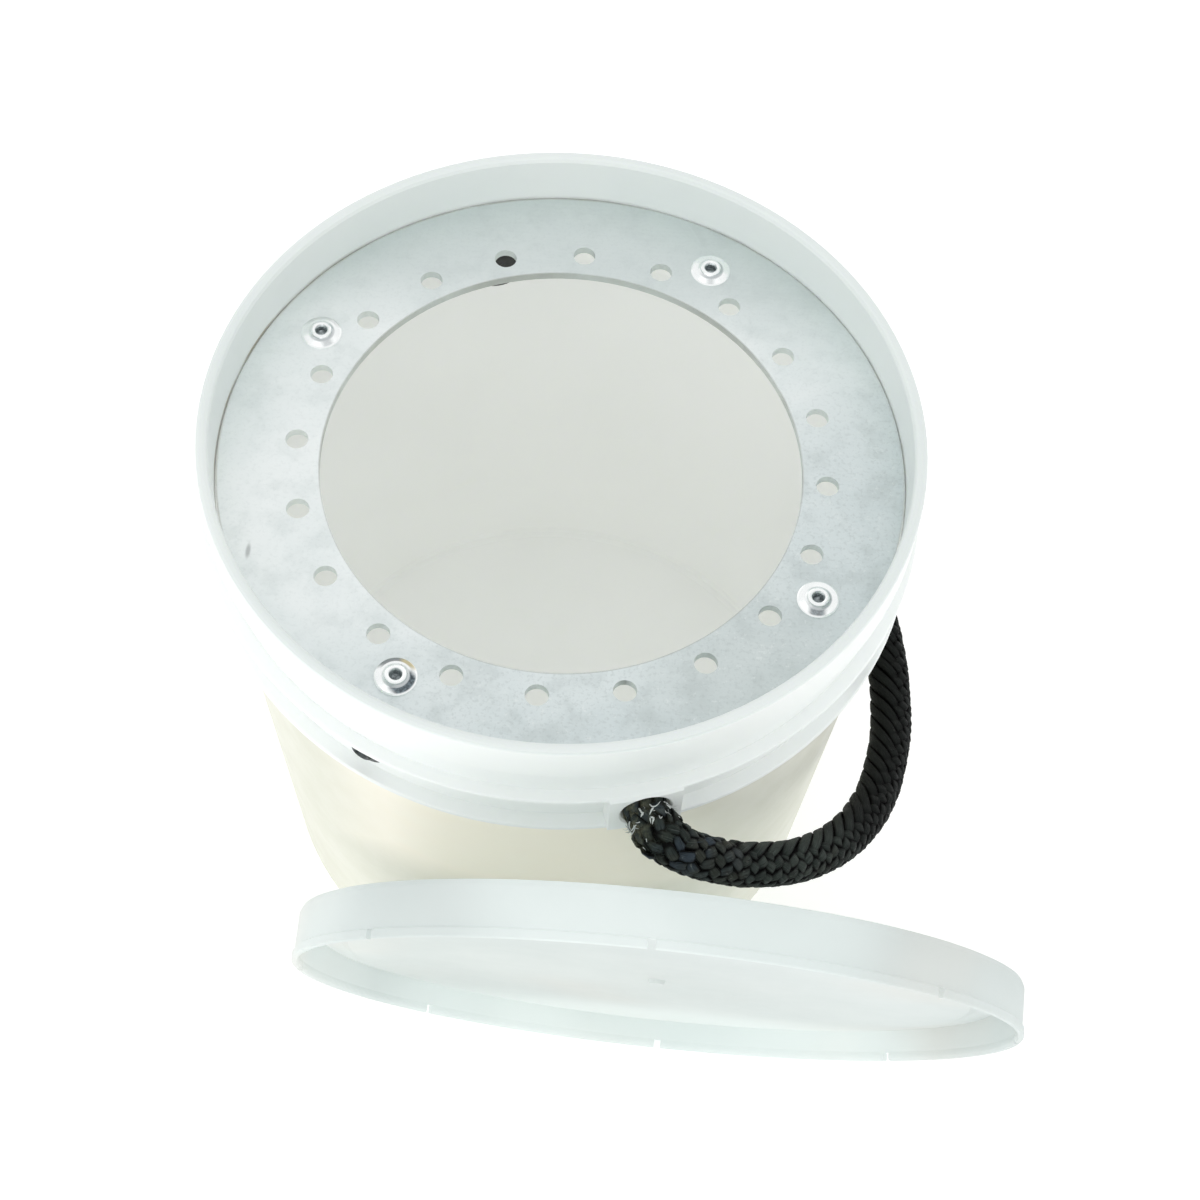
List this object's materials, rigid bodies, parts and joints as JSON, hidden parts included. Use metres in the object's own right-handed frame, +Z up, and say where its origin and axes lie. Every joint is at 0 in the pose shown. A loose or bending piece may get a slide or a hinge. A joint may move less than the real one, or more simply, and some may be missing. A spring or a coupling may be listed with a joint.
{
  "type": "aerated bait bucket",
  "caption": "Round plastic bait bucket with a perforated metal splash ring under its mouth, corner brackets, a swinging rope handle and a loose snap lid.",
  "frame": {"origin": "centre of the foot circle, at the level that the bucket stands on", "axes": "+Z up along the bucket's axis, +Y to the back, +X to the right of the picture's view"},
  "size_m": [0.2884, 0.3316, 0.2402],
  "materials": {
    "pail_plastic": "natural white moulded plastic, slightly translucent, satin",
    "lid_plastic": "thin milky translucent moulded plastic, satin",
    "ring_metal": "mill finish sheet with smudges and fine scratches",
    "rivet_metal": "bright, smooth",
    "mandrel_steel": "dull, broken pin end",
    "bracket_steel": "zinc plated",
    "washer_steel": "zinc plated",
    "rope_black": "solid braid fibre rope, slightly dusty"
  },
  "bodies": {
    "pail": {"pail": "pail_plastic", "perforated_ring": "ring_metal", "ring_rivets": "rivet_metal", "ring_rivet_mandrels": "mandrel_steel", "bracket_front_left": "bracket_steel", "bracket_front_right": "bracket_steel", "bracket_back_left": "bracket_steel", "bracket_back_right": "bracket_steel", "wall_rivets": "rivet_metal", "wall_rivet_mandrels": "mandrel_steel"},
    "handle": {"rope_handle": "rope_black", "rope_end_front": "rope_black", "rope_end_back": "rope_black", "rope_washer_front": "washer_steel", "rope_washer_back": "washer_steel"},
    "lid": {"lid": "lid_plastic"}
  },
  "joints": [
    {"name": "handle_swing", "type": "hinge", "parent": "pail", "child": "handle", "pos_m": [0, 0, 0.193], "axis": [0.2924, -0.9563, 0], "range_deg": [0, 195]},
    {"name": "lid_lift", "type": "slide", "parent": "pail", "child": "lid", "axis": [0, -0.5, 0.866], "range_m": [0, 0.25]}
  ]
}
